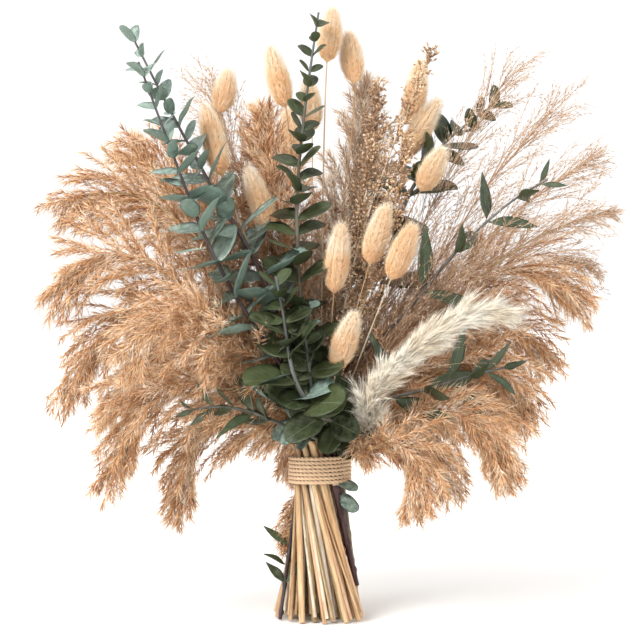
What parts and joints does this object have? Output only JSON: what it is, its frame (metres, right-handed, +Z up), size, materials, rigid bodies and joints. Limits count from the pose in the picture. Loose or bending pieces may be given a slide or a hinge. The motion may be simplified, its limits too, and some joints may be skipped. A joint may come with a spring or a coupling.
{
  "type": "bunch of pampas grass",
  "caption": "Hand-tied bunch of dried pampas and reed plumes, bunny tails, fine grass and eucalyptus leaves, bound with jute twine and standing on its cut stems.",
  "frame": {"origin": "on the surface that the stems stand on, below the middle of the bunch's extent; the twine's axis is 5.5 mm to the left and 33.5 mm in front of it", "axes": "+Z up along the bunch, -Y towards the viewer of the picture, +X to the picture's right"},
  "size_m": [0.4392, 0.2692, 0.4601],
  "materials": {
    "reed_plume": "dry tan feathery plume on a straw stem, matt",
    "cream_plume": "dry creamy white feathery plume, soft and matt",
    "bunny_tail": "dry soft cream head of fine hairs on a thin straw stem, matt",
    "round_leaves": "preserved blue-green leaves on a dark woody stem, satin",
    "narrow_leaves": "preserved dark green leaves on a dark woody stem, satin",
    "airy_grass": "dry fine brown grass, matt",
    "flower_spike": "dry grey-brown florets, matt",
    "jute_twine": "natural jute, matt"
  },
  "bodies": {
    "root": {"cream_plume": "cream_plume", "bunny_tail_1": "bunny_tail", "bunny_tail_2": "bunny_tail", "bunny_tail_3": "bunny_tail", "bunny_tail_4": "bunny_tail", "bunny_tail_5": "bunny_tail", "bunny_tail_6": "bunny_tail", "bunny_tail_7": "bunny_tail", "bunny_tail_8": "bunny_tail", "bunny_tail_9": "bunny_tail", "bunny_tail_10": "bunny_tail", "bunny_tail_11": "bunny_tail", "bunny_tail_12": "bunny_tail", "bunny_tail_13": "bunny_tail", "bunny_tail_14": "bunny_tail", "bunny_tail_15": "bunny_tail", "bunny_tail_16": "bunny_tail", "eucalyptus_1": "round_leaves", "eucalyptus_2": "round_leaves", "eucalyptus_3": "round_leaves", "eucalyptus_4": "round_leaves", "eucalyptus_5": "round_leaves", "eucalyptus_6": "round_leaves", "eucalyptus_7": "round_leaves", "willow_leaf_1": "narrow_leaves", "willow_leaf_2": "narrow_leaves", "willow_leaf_3": "narrow_leaves", "willow_leaf_4": "narrow_leaves", "flower_spike_1": "flower_spike", "flower_spike_2": "flower_spike", "flower_spike_3": "flower_spike", "reed_left_1": "reed_plume", "reed_left_2": "reed_plume", "reed_left_3": "reed_plume", "reed_left_4": "reed_plume", "reed_left_5": "reed_plume", "reed_left_6": "reed_plume", "reed_left_7": "reed_plume", "reed_left_8": "reed_plume", "reed_top_1": "reed_plume", "reed_top_2": "reed_plume", "reed_right_1": "reed_plume", "reed_right_2": "reed_plume", "reed_right_3": "reed_plume", "reed_right_4": "reed_plume", "reed_right_5": "reed_plume", "reed_right_6": "reed_plume", "reed_right_7": "reed_plume", "reed_back_1": "reed_plume", "reed_back_2": "reed_plume", "reed_back_3": "reed_plume", "reed_back_4": "reed_plume", "airy_grass_1": "airy_grass", "airy_grass_2": "airy_grass", "airy_grass_3": "airy_grass", "airy_grass_4": "airy_grass", "airy_grass_5": "airy_grass", "airy_grass_6": "airy_grass", "twine": "jute_twine"}
  },
  "joints": []
}
